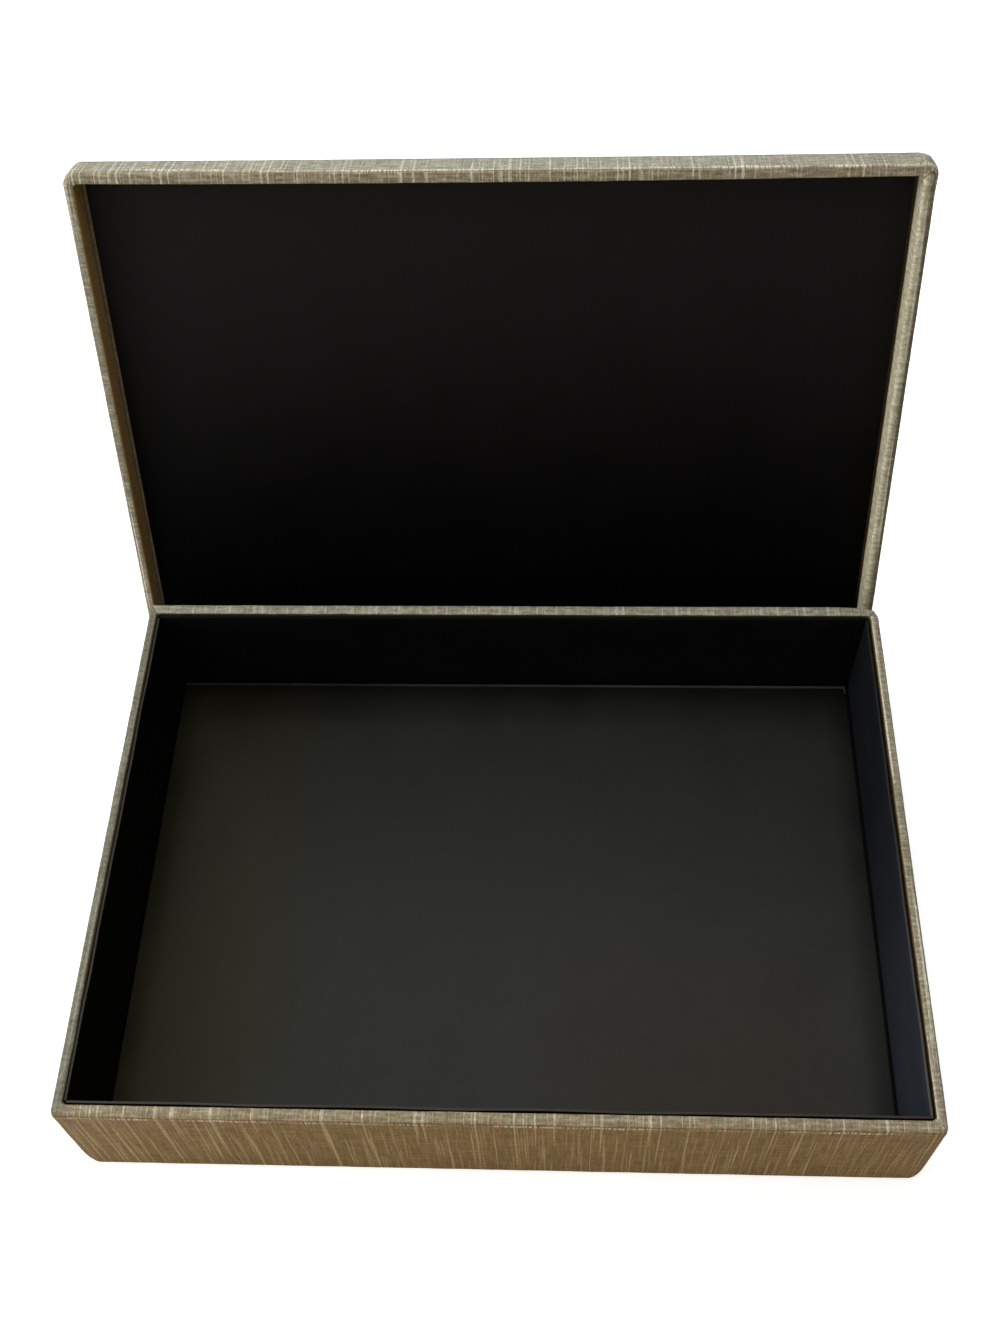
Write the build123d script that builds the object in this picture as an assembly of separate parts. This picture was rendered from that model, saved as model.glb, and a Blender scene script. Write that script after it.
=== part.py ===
from build123d import *
import math
import os

# A cloth-covered storage box for photo prints: an open tray, and its lift-off lid stood up behind it.
# Millimetres. X runs along the box, Y to the back and Z up. The origin is the middle of the tray's
# underside, on the table. The lid is drawn lying on its back, with its rim up, and then stood up.

# ---- driving dimensions: the tray ----
tray_length = 330.0          # outside the cloth, along X
tray_depth = 235.0           # outside the cloth, along Y
tray_height = 60.0           # table to rim

# ---- driving dimensions: the lid ----
lid_height = 16.0            # outside, top to rim
lid_clearance = 1.0          # between the tray's cloth and the lid's, all round, when it is on
lid_lean = 19.0              # degrees back from upright
lid_shift = -3.2             # the lid stands this far along X from the tray's middle
lid_stand_gap = 0.4          # between the lid's rim and the tray's back wall, at the nearest

# ---- boards, cloth and paper ----
board_thick = 3.0
cloth_thick = 0.5
tape_thick = 0.15            # gummed paper that holds two boards together at a corner
tape_leg = 14.0              # how far a tape runs along each board
tape_end_gap = 3.0           # the tapes stop this far short of the boards' edges
tray_corner_radius = 2.5     # the tray's upright corners, outside the cloth
lid_corner_radius = 4.5      # the lid's
board_corner_radius = 4.0    # the boards' own, sanded round; the cloth is folded double over them
edge_radius = 1.2            # the cloth's roll over the edge of a board

# ---- the tray's covering and underside ----
tray_turn_in = 20.0          # cloth down the inside of the walls
tray_turn_under = 15.0       # cloth under the bottom, in from the outside face
underside_sheet_thick = 0.5
underside_sheet_inset = 3.0
infill_gap = 0.5             # an infill card's edge to the turned-in cloth

# ---- the tray's lining ----
liner_thick = 0.9
liner_wall_gap = 0.9         # behind a liner, to the cloth on the wall
liner_drop = 0.8             # top of a liner below the rim
liner_end_gap = 0.3          # between a side liner's end and the front or rear one
floor_liner_thick = 3.0
floor_liner_gap = 0.8        # round the floor liner, to the four liners
floor_liner_shift = -0.5     # it lies this far off the middle, along X

# ---- the lid's covering and lining ----
lid_turn_in = 12.0           # cloth on the inside of the lid's top board, in from its walls
lid_sheet_split = 1.5        # height, from the lid's top, where the cloth is divided into panels
lining_panel_thick = 1.5
lining_panel_margin = 2.6    # cloth left to see along the lining panel's long edges
lining_panel_end_margin = 1.6   # and at its two ends
lining_panel_shift = -0.2    # the panel is stuck down this far off the middle, along X

# ---- worked out ----
wall_thick = board_thick + 2 * cloth_thick
tray_inner_length = tray_length - 2 * wall_thick
tray_inner_depth = tray_depth - 2 * wall_thick
tray_cloth_bottom = underside_sheet_thick
tray_board_bottom = tray_cloth_bottom + cloth_thick
tray_floor = tray_board_bottom + board_thick
tray_board_top = tray_height - cloth_thick
tray_turn_in_bottom = tray_height - tray_turn_in
lid_length = tray_length + 2 * (lid_clearance + wall_thick)
lid_depth = tray_depth + 2 * (lid_clearance + wall_thick)
lid_inner_length = lid_length - 2 * wall_thick
lid_inner_depth = lid_depth - 2 * wall_thick
lid_board_inside = cloth_thick + board_thick
lid_inside = lid_board_inside + cloth_thick
lid_board_top = lid_height - cloth_thick
mitre_reach = 40.0           # a mitre's cut starts outside the box and ends this far in from the wall
spare = 2.0                  # what is cut away is drawn this much past the faces it cuts

sides = ("front", "rear", "left", "right")
outward = {"front": -1, "rear": 1, "left": -1, "right": 1}
turned_over = {"front": "rear", "rear": "front", "left": "left", "right": "right"}


def slab(length, depth, low, high):
    # A plain block centred on X and Y, from one height to another.
    return Pos(0, 0, (low + high) / 2) * Box(length, depth, high - low)


def round_slab(length, depth, low, high, radius):
    # The same with its four upright edges rounded.
    plain = slab(length, depth, low, high)
    return fillet(plain.edges().filter_by(Axis.Z), radius)


def round_edges(solid, which):
    # Roll the edges round the highest (-1) or the lowest (0) face of the cloth.
    return fillet(solid.faces().sort_by(Axis.Z)[which].edges(), edge_radius)


def mitre_wedge(side, length, depth, low, high):
    # The quarter of a box's rim that belongs to one side, cut at 45 degrees through the corners.
    x, y = length / 2, depth / 2
    near = outward[side]
    if side in ("front", "rear"):
        outer, inner = near * (y + spare), near * (y - mitre_reach)
        wide, narrow = x + spare, x - mitre_reach
        points = [(-wide, outer), (wide, outer), (narrow, inner), (-narrow, inner)]
    else:
        outer, inner = near * (x + spare), near * (x - mitre_reach)
        wide, narrow = y + spare, y - mitre_reach
        points = [(outer, -wide), (outer, wide), (inner, narrow), (inner, -narrow)]
    outline = make_face(Polyline(*points, close=True))
    return extrude(Pos(0, 0, low) * outline, amount=high - low)


def board_block(length, depth, low, high):
    # The outside of the four wall boards together, with the upright corners sanded round.
    return round_slab(length - 2 * cloth_thick, depth - 2 * cloth_thick, low, high, board_corner_radius)


def wall_board(side, length, depth, low, high):
    # Front and rear boards run the full length, and the left and right ones fit between them.
    x, y = length / 2 - cloth_thick, depth / 2 - cloth_thick
    middle, near = (low + high) / 2, outward[side]
    if side in ("front", "rear"):
        place = Pos(0, near * (y - board_thick / 2), middle)
        region = place * Box(2 * x, board_thick, high - low)
    else:
        place = Pos(near * (x - board_thick / 2), 0, middle)
        region = place * Box(board_thick, 2 * (y - board_thick), high - low)
    return board_block(length, depth, low, high) & region


def corner_tapes(length, depth, low, high):
    # Four strips of gummed paper, one folded round each upright corner of the boards.
    board_length, board_depth = length - 2 * cloth_thick, depth - 2 * cloth_thick
    tape_low, tape_high = low + tape_end_gap, high - tape_end_gap
    band_length, band_depth = board_length + 2 * tape_thick, board_depth + 2 * tape_thick
    band_radius = board_corner_radius + tape_thick
    band = round_slab(band_length, band_depth, tape_low, tape_high, band_radius)
    band = band - board_block(length, depth, tape_low, tape_high)
    band = band - slab(length, board_depth - 2 * tape_leg, low, high)
    return band - slab(board_length - 2 * tape_leg, depth, low, high)


def tray_cloth():
    # Outside the walls, over the rim, down the inside and under the bottom, less what it covers.
    cloth = round_slab(tray_length, tray_depth, tray_cloth_bottom, tray_height, tray_corner_radius)
    cloth = cloth - slab(tray_inner_length, tray_inner_depth, tray_turn_in_bottom, tray_height + spare)
    cloth = round_edges(round_edges(cloth, -1), 0)
    board_length = tray_inner_length + 2 * cloth_thick
    board_depth = tray_inner_depth + 2 * cloth_thick
    cloth = cloth - slab(board_length, board_depth, tray_board_bottom, tray_turn_in_bottom)
    open_length = tray_length - 2 * tray_turn_under
    open_depth = tray_depth - 2 * tray_turn_under
    cloth = cloth - slab(open_length, open_depth, tray_cloth_bottom - spare, tray_board_bottom)
    boards = board_block(tray_length, tray_depth, tray_board_bottom, tray_board_top)
    boards = boards - slab(board_length, board_depth, 0, tray_height)
    return cloth - boards - corner_tapes(tray_length, tray_depth, tray_board_bottom, tray_board_top)


def tray_shell():
    # Boards, paper tapes, cloth and underside.
    shell = {}
    board_length = tray_inner_length + 2 * cloth_thick
    board_depth = tray_inner_depth + 2 * cloth_thick
    shell["base_bottom_board"] = slab(board_length, board_depth, tray_board_bottom, tray_floor)
    shell["base_corner_tapes"] = corner_tapes(tray_length, tray_depth, tray_board_bottom, tray_board_top)
    cloth = tray_cloth()
    for side in sides:
        shell[f"base_{side}_board"] = wall_board(
            side, tray_length, tray_depth, tray_board_bottom, tray_board_top
        )
        wedge = mitre_wedge(side, tray_length, tray_depth, 0, tray_height + spare)
        shell[f"base_{side}_cloth"] = cloth & wedge
    infill_inset = tray_turn_under + infill_gap
    infill_length, infill_depth = tray_length - 2 * infill_inset, tray_depth - 2 * infill_inset
    shell["base_infill_card"] = slab(infill_length, infill_depth, tray_cloth_bottom, tray_board_bottom)
    sheet_length = tray_length - 2 * underside_sheet_inset
    sheet_depth = tray_depth - 2 * underside_sheet_inset
    shell["base_underside_sheet"] = slab(sheet_length, sheet_depth, 0, underside_sheet_thick)
    return shell


def tray_lining():
    # Four loose black cards round the inside and one on the floor, all standing on the bottom board.
    x = tray_inner_length / 2 - liner_wall_gap
    y = tray_inner_depth / 2 - liner_wall_gap
    top = tray_height - liner_drop
    middle, tall = (tray_floor + top) / 2, top - tray_floor
    side_run = 2 * (y - liner_thick - liner_end_gap)
    lining = {}
    for side in ("front", "rear"):
        place = Pos(0, outward[side] * (y - liner_thick / 2), middle)
        lining[f"base_{side}_liner"] = place * Box(2 * x, liner_thick, tall)
    for side in ("left", "right"):
        place = Pos(outward[side] * (x - liner_thick / 2), 0, middle)
        lining[f"base_{side}_liner"] = place * Box(liner_thick, side_run, tall)
    inset = liner_thick + floor_liner_gap
    floor_top = tray_floor + floor_liner_thick
    floor = slab(2 * (x - inset), 2 * (y - inset), tray_floor, floor_top)
    lining["base_floor_liner"] = Pos(floor_liner_shift, 0, 0) * floor
    return lining


def lid_cloth():
    # Over the top, round the walls, over the rim and onto the inside of the top board.
    cloth = round_slab(lid_length, lid_depth, 0, lid_height, lid_corner_radius)
    cloth = cloth - slab(lid_inner_length, lid_inner_depth, lid_inside, lid_height + spare)
    cloth = round_edges(round_edges(cloth, -1), 0)
    open_length, open_depth = lid_inner_length - 2 * lid_turn_in, lid_inner_depth - 2 * lid_turn_in
    cloth = cloth - slab(open_length, open_depth, lid_board_inside, lid_height)
    boards = board_block(lid_length, lid_depth, cloth_thick, lid_board_top)
    board_length = lid_inner_length + 2 * cloth_thick
    board_depth = lid_inner_depth + 2 * cloth_thick
    boards = boards - slab(board_length, board_depth, lid_board_inside, lid_height)
    return cloth - boards - corner_tapes(lid_length, lid_depth, cloth_thick, lid_board_top)


def lid_parts():
    # The lid lying on its back: its top lies on the table and its rim is up. Its walls are named as
    # they lie when the lid is on, so its front wall is the one at the back here.
    parts = {}
    board_length = lid_inner_length + 2 * cloth_thick
    board_depth = lid_inner_depth + 2 * cloth_thick
    parts["lid_top_board"] = slab(board_length, board_depth, cloth_thick, lid_board_inside)
    parts["lid_corner_tapes"] = corner_tapes(lid_length, lid_depth, cloth_thick, lid_board_top)
    cloth = lid_cloth()
    parts["lid_top_cloth"] = cloth & slab(lid_length, lid_depth, 0, lid_sheet_split)
    for side in sides:
        name = turned_over[side]
        parts[f"lid_{name}_board"] = wall_board(side, lid_length, lid_depth, cloth_thick, lid_board_top)
        wedge = mitre_wedge(side, lid_length, lid_depth, lid_sheet_split, lid_height + spare)
        parts[f"lid_{name}_cloth"] = cloth & wedge
    inset = lid_turn_in + infill_gap
    infill_length, infill_depth = lid_inner_length - 2 * inset, lid_inner_depth - 2 * inset
    parts["lid_infill_card"] = slab(infill_length, infill_depth, lid_board_inside, lid_inside)
    panel_length = lid_inner_length - 2 * lining_panel_end_margin
    panel_depth = lid_inner_depth - 2 * lining_panel_margin
    panel = slab(panel_length, panel_depth, lid_inside, lid_inside + lining_panel_thick)
    parts["lid_lining_panel"] = Pos(lining_panel_shift, 0, 0) * panel
    return parts


def stand_up(parts):
    # Stand the lid on the table on its rear edge, leaning back, just clear of the tray.
    lean = math.radians(lid_lean)
    heel = edge_radius - lid_depth / 2
    lowest = heel * math.cos(lean) + edge_radius * math.sin(lean) - edge_radius
    nearest = heel * math.sin(lean) - (lid_height - edge_radius) * math.cos(lean) - edge_radius
    behind = tray_depth / 2 + lid_stand_gap - nearest
    place = Pos(lid_shift, behind, -lowest) * Rot(90 - lid_lean, 0, 0)
    return {name: place * shape for name, shape in parts.items()}


os.makedirs("parts", exist_ok=True)
all_parts = {**tray_shell(), **tray_lining(), **stand_up(lid_parts())}
for name, shape in all_parts.items():
    export_step(shape, f"parts/{name}.step")
print(f"{len(all_parts)} parts, lid {lid_length:.0f} x {lid_depth:.0f} x {lid_height:.0f} mm")
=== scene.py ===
import bmesh
import bpy
import math
from mathutils import Matrix, Vector, noise


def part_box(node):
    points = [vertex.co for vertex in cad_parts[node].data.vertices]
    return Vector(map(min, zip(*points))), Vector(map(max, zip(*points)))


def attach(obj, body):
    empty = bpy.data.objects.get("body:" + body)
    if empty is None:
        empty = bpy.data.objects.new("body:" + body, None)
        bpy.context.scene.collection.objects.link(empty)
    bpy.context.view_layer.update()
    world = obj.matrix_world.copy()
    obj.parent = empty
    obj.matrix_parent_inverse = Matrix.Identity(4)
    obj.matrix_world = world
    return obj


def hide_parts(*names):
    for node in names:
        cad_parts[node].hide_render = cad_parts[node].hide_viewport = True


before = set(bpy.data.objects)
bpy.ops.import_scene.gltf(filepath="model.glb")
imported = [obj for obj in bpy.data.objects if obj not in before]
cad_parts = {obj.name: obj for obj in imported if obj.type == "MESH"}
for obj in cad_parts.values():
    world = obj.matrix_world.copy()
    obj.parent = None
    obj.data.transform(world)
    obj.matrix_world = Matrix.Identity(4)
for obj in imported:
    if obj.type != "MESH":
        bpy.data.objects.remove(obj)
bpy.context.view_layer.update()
mm = 0.001
noise.seed_set(11)
print("frame loaded:", len(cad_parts), "nodes")

# the cloth, wherever it lies
fabric = {
    "sheet": 0.45 * mm,          # its thickness
    "rimOuter": 1.4 * mm,        # its roll over a rim's outer edge
    "rimInner": 1.0 * mm,        # over its inner edge
    "edgeRadius": 1.2 * mm,      # over the bottom's edge and the lid top's
    "turnedRadius": 0.5 * mm,    # and where it turns onto the lid's top board
    "innerRadius": 1.7 * mm,     # corners inside a rim
    "innerFrom": 2.2 * mm,       # they start to be round this far in from the outer face
    "innerTo": 7.0 * mm,         # and are square again here
    "overlap": 0.3 * mm,         # rise of one sheet over the next at a mitre
    "overlapReach": 3.0 * mm,    # which ends this far from the mitre
    "uneven": 0.09 * mm,         # how far the surface wanders
    "unevenRates": (90, 330),    # in slow and in quick waves, a metre
    "unevenQuick": 0.4,          # the quick ones' share
    "step": 3.0 * mm,            # mesh spacing along a sheet
    "rollSteps": 6,
    "endReach": 6.0 * mm,        # the mesh is closer this near to a corner
    "endColumns": 10,
    "endCrowding": 1.3,
}

frontLow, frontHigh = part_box("base_front_cloth")
trayLow = [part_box("base_left_cloth")[0][0], frontLow[1], frontLow[2]]
trayHigh = [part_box("base_right_cloth")[1][0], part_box("base_rear_cloth")[1][1], frontHigh[2]]
tray = {
    "length": trayHigh[0] - trayLow[0],
    "depth": trayHigh[1] - trayLow[1],
    "bottom": trayLow[2],
    "top": trayHigh[2],
    "wall": 4.0 * mm,            # a wall with its cloth, at the rim
    "wallFront": 0.55 * mm,      # the front one is thicker by this
    "wallSide": -0.3 * mm,       # and the side ones by this
    "corner": 2.2 * mm,          # upright corners, outside
    "cornerFoot": 5.5 * mm,      # the same at the foot
    "footReach": 16 * mm,        # widening over this height
    "cornerWorn": 5.5 * mm,      # and at the rear right of the rim
    "wornBelow": 25 * mm,        # widening from this far below it
    "wornRise": 20 * mm,         # over this height
    "outLeft": 0.25 * mm,        # the left wall's cloth stands this far off
    "looseRear": 1.3 * mm,       # the rear rim's cloth stands this far off
    "looseBelow": 7 * mm,        # from this far below the rim
    "looseRise": 5 * mm,         # in full after this height
    "looseEnd": 0.4,             # but only this share of it at its right end
    "endFrom": 4 * mm,
    "endReach": 14 * mm,         # which is over this far along
    "turnIn": 20.0 * mm,
    "turnUnder": 15.0 * mm,
    "sheenBandFrom": 55 * mm,         # in front of the middle, the side rims' pale band of painted sheen widens from here
    "sheenBandReach": 45 * mm,        # over this far
}

lid = {
    "length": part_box("lid_top_cloth")[1][0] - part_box("lid_top_cloth")[0][0],
    "depth": 245.0 * mm,
    "height": 16.0 * mm,
    "wall": 4.4 * mm,
    "wallLeft": -0.7 * mm,       # the left one is thicker by this
    "wallRight": 0.2 * mm,       # and the right one by this
    "bow": 0.4 * mm,             # how far the top wall's middle hangs down, when the lid stands
    "bowRim": 0.45 * mm,         # and its rim's inner edge besides
    "bowReach": 30 * mm,         # no bow this far inside the wall
    "corner": 5.2 * mm,
    "cornerFull": 5.0 * mm,      # and at the top right, when the lid stands
    "bulge": 1.3 * mm,           # how far the gathered cloth of that corner stands out
    "bulgeShare": 0.7,           # of it along X, and along Y
    "bulgeReach": 12 * mm,       # it is gone this far along the walls
    "bulgeDepth": 3 * mm,        # and this far into them
    "bulgeFoot": 5 * mm,         # it grows over this height from the lid's top
    "bulgeOver": 3 * mm,         # and would be gone this far past the rim
    "bulgeHead": 8 * mm,         # shrinking over this height
    "outLeft": 0.25 * mm,        # the end walls' cloth stands this far off
    "outRight": 0.45 * mm,
    "lean": math.radians(19.0),
    "inside": 4.0 * mm,          # the cloth's face inside, above the lid's outer face
    "turnIn": 12.0 * mm,
    "split": 1.5 * mm,           # where the top's cloth meets the walls'
    "panelThick": 1.5 * mm,
    "panelInset": 6.6 * mm,      # from the lid's long edges to the panel
    "panelEndInset": 5.6 * mm,
    "panelShift": -0.2 * mm,
}


def standingLid():
    # The lid is made lying on its back at the origin; this stands it up where the frame has it.
    roll = fabric["edgeRadius"]
    heel = roll - lid["depth"] / 2
    sine, cosine = math.sin(lid["lean"]), math.cos(lid["lean"])
    lowest = heel * cosine + roll * sine - roll
    nearest = heel * sine - (lid["height"] - roll) * cosine - roll
    left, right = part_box("lid_top_cloth")
    place = Vector(((left[0] + right[0]) / 2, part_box("lid_rear_cloth")[0][1] - nearest, -lowest))
    return Matrix.Translation(place) @ Matrix.Rotation(math.pi / 2 - lid["lean"], 4, "X")


lidStand = standingLid()


# materials: small helpers, shared effects, then one function for each kind of finish
def feed(tree, node, inputs):
    for name, value in inputs.items():
        if isinstance(value, bpy.types.NodeSocket):
            tree.links.new(value, node.inputs[name])
        else:
            node.inputs[name].default_value = value


def put(tree, kind, inputs=None, **settings):
    made = tree.nodes.new(kind)
    for name, value in settings.items():
        setattr(made, name, value)
    feed(tree, made, inputs or {})
    return made


def calc(tree, operation, a, b=0.0):
    return put(tree, "ShaderNodeMath", {0: a, 1: b}, operation=operation).outputs[0]


def product(tree, first, *others):
    for other in others:
        first = calc(tree, "MULTIPLY", first, other)
    return first


def fade(tree, value, low, high, toLow=0.0, toHigh=1.0):
    spread = {"Value": value, "From Min": low, "From Max": high, "To Min": toLow, "To Max": toHigh}
    return put(tree, "ShaderNodeMapRange", spread, interpolation_type="SMOOTHSTEP").outputs["Result"]


def split(tree, vector):
    return put(tree, "ShaderNodeSeparateXYZ", {0: vector}).outputs


def mixColour(tree, share, a, b, blend="MIX"):
    sockets = {0: share, 6: a, 7: b}
    return put(tree, "ShaderNodeMix", sockets, data_type="RGBA", blend_type=blend).outputs[2]


def shaded(tree, colour, amount):
    grey = put(tree, "ShaderNodeCombineXYZ", {0: amount, 1: amount, 2: amount}).outputs[0]
    return mixColour(tree, 1.0, colour, grey, "MULTIPLY")


def newMaterial(name):
    material = bpy.data.materials.new(name)
    material.use_nodes = True
    tree = material.node_tree
    return material, tree, tree.nodes["Principled BSDF"]


def newGroup(name, takes, result):
    group = bpy.data.node_groups.new(name, "ShaderNodeTree")
    for label, value in takes.items():
        kind = "NodeSocketVector" if value is None else "NodeSocketFloat"
        socket = group.interface.new_socket(label, in_out="INPUT", socket_type=kind)
        if value is not None:
            socket.default_value = value
    group.interface.new_socket(result, in_out="OUTPUT", socket_type="NodeSocketFloat")
    return group, group.nodes.new("NodeGroupInput").outputs, group.nodes.new("NodeGroupOutput").inputs


def useGroup(tree, group, **inputs):
    made = put(tree, "ShaderNodeGroup")
    made.node_tree = group
    feed(tree, made, inputs)
    return made.outputs[0]


def threadStreaks():
    # Long thin streaks along V, in mm: the threads of one direction, thick and thin.
    takes = {"Vector": None, "Width": 1.0, "Length": 40.0, "Low": 0.5, "High": 0.7}
    group, given, result = newGroup("threadStreaks", takes, "Mask")
    across = calc(group, "DIVIDE", 1 / mm, given["Width"])
    along = calc(group, "DIVIDE", 1 / mm, given["Length"])
    scale = put(group, "ShaderNodeCombineXYZ", {0: across, 1: along, 2: 1.0}).outputs[0]
    sized = {0: given["Vector"], 1: scale}
    place = put(group, "ShaderNodeVectorMath", sized, operation="MULTIPLY").outputs[0]
    cloud = {"Vector": place, "Scale": 1.0, "Detail": 1.0}
    cloud = put(group, "ShaderNodeTexNoise", cloud, noise_dimensions="2D").outputs["Fac"]
    group.links.new(fade(group, cloud, given["Low"], given["High"]), result["Mask"])
    return group


threadUnder = 0.55   # height of a thread that passes under another, beside one that passes over


def plainWeave():
    # Threads over and under each other, Pitch mm apart.
    group, given, result = newGroup("plainWeave", {"Vector": None, "Pitch": 0.5}, "Height")
    scale = calc(group, "DIVIDE", 1 / mm, given["Pitch"])
    sized = {0: given["Vector"], "Scale": scale}
    place = put(group, "ShaderNodeVectorMath", sized, operation="SCALE").outputs[0]
    upright, level = (
        calc(group, "SINE", calc(group, "MULTIPLY", part, math.pi)) for part in split(group, place)[:2]
    )
    over = calc(group, "MULTIPLY", upright, level)
    crown = calc(group, "MAXIMUM", calc(group, "ABSOLUTE", upright), calc(group, "ABSOLUTE", level))
    height = product(group, crown, fade(group, over, -1.0, 1.0, threadUnder, 1.0))
    group.links.new(height, result["Height"])
    return group


# painted highlights on the threads where the cloth bends over a board's edge; rates are per mm
foldLine = {
    "sway": 0.25,                # how far their line strays, mm
    "swayRate": 0.12,
    "swayNoise": (0.3, 0.7),     # the noise at its two ends
    "dash": (0.42, 0.54),        # where the noise starts and completes a dash
    "spellRate": 0.035,          # spells with fewer dashes and with more
    "spellNoise": (0.38, 0.62),
    "faint": 0.15,               # what is left in the fewer
}


def noiseAlong(tree, place, detail=2.0):
    cloud = {"W": place, "Scale": 1.0, "Detail": detail}
    return put(tree, "ShaderNodeTexNoise", cloud, noise_dimensions="1D").outputs["Fac"]


def foldGlints():
    # Painted highlights on threads, broken into dashes in a line; U runs along the edge and V is the distance
    # round it.
    takes = {"Vector": None, "Centre": 0.0, "Reach": 0.5, "Dash": 2.0}
    group, given, result = newGroup("foldGlints", takes, "Mask")
    along, across = (calc(group, "MULTIPLY", part, 1 / mm) for part in split(group, given["Vector"])[:2])
    sway = noiseAlong(group, calc(group, "MULTIPLY", along, foldLine["swayRate"]))
    sway = fade(group, sway, *foldLine["swayNoise"], -foldLine["sway"], foldLine["sway"])
    centre = calc(group, "ADD", given["Centre"], sway)
    away = calc(group, "ABSOLUTE", calc(group, "SUBTRACT", across, centre))
    band = fade(group, away, 0.0, given["Reach"], 1.0, 0.0)
    beat = noiseAlong(group, calc(group, "DIVIDE", along, given["Dash"]), 1.0)
    glintDashes = fade(group, beat, *foldLine["dash"])
    spell = noiseAlong(group, calc(group, "MULTIPLY", along, foldLine["spellRate"]))
    spell = fade(group, spell, *foldLine["spellNoise"], foldLine["faint"], 1.0)
    group.links.new(product(group, band, spell, glintDashes), result["Mask"])
    return group


streakGroup = threadStreaks()
weaveGroup = plainWeave()
foldGroup = foldGlints()

cloth = {
    "olive": (0.201, 0.122, 0.023, 1),        # the cloth's own colour
    "brown": (0.230, 0.117, 0.029, 1),
    "sheenGreyGreen": (0.258, 0.252, 0.178, 1),    # the cloth greyed by painted sheen
    "sheenBeige": (0.290, 0.266, 0.204, 1),
    "slubWarm": (0.46, 0.33, 0.15, 1),
    # the next is a slub's colour under painted sheen
    "slubSheen": (0.80, 0.77, 0.62, 1),
    # the next is the colour of the painted highlights on threads at a fold
    "foldGlint": (0.70, 0.58, 0.42, 1),
    # the next is painted shade in the crease at a fold
    "creaseShade": (0.20, 0.10, 0.040, 1),
    "pitch": 0.48,               # threads, mm
    "roughness": 0.56,
    "roughSpread": (0.06, -0.05),   # from thread to thread
    "specular": (0.03, 0.14),    # where the cloth is dark, and where it is bright
    "specularBright": (0.2, 1.0),
    "sheen": 0.03,
    "sheenBright": (0.4, 1.0),   # none at the first brightness, and in full at the second
    "sheenRoughness": 0.3,
    "threadsLeft": 0.2,          # how much its threads show where its slubs don't
    "slub": 0.34,                # how light each kind of streak is
    "strong": 0.62,
    "weftSlub": 0.16,
    # the next is a painted highlight on the overlapping edge beside a mitre
    "mitreGlint": 0.5,
    # how bright the painted highlights at a fold are
    "glintDashes": 0.8,
    "glintPlace": {"Centre": -2.5, "Reach": 1.6, "Dash": 1.0},   # painted highlights at a fold: round the edge, width and length, mm
    "creased": 0.5,
    "creaseFrom": (-1.8, -1.1),  # the crease's painted shade begins and ends here, mm round the edge
    "creaseTo": (-1.0, -0.3),
    "mitre": 0.45,               # brightness left by the painted shadow in the gap at a mitre
    "mitreGap": (0.05, 0.45),    # mm from the mitre, as the next two
    "mitreGlintFrom": (0.1, 0.35),
    "mitreGlintTo": (0.5, 0.9),
    "mitreGlintThread": (0.2, 0.6),  # of a weft streak
    "stray": 0.14,               # how far the painted sheen's greyness strays from patch to patch
    "strayShare": (0.3, 1.0),    # the share of it in cloth without painted sheen, and in cloth with it in full
    "slubUneven": (0.75, 1.2),   # how light a slub is from grain to grain
}

# streaks in the cloth: width and length in mm, and the noise values where they start and are full
warpStreaks = {
    "tone": (3.2, 11.0, 0.38, 0.62),
    "grain": (0.8, 1.6, 0.25, 0.75),
    "fine": (0.8, 16.0, 0.3, 0.72),
    "slubs": (1.15, 70.0, 0.60, 0.70),
    "strong": (1.45, 110.0, 0.65, 0.72),
}
weftStreaks = {
    "patch": (1.6, 4.5, 0.25, 0.75),
    "weft": (1.0, 12.0, 0.3, 0.72),
    "weftSlubs": (1.3, 20.0, 0.62, 0.74),
}

# what each makes of the cloth's brightness, at its lowest and highest, and of its relief
streakShade = {"fine": (0.92, 1.08), "weft": (0.83, 1.15), "patch": (0.94, 1.16), "grain": (0.86, 1.14)}
weaveShade = (0.5, 1.0, 0.86, 1.04)   # the weave's heights first, and their brightness
relief = {"weave": 0.35, "fine": 0.3, "light": 1.1, "weft": 0.25, "grain": 0.4}
reliefDepth = 0.14 * mm
reliefStrength = 0.6


def layStreaks(tree, vector, sizes):
    made = {}
    for name, (width, length, low, high) in sizes.items():
        sockets = {"Vector": vector, "Width": width, "Length": length, "Low": low, "High": high}
        made[name] = useGroup(tree, streakGroup, **sockets)
    return made


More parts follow.
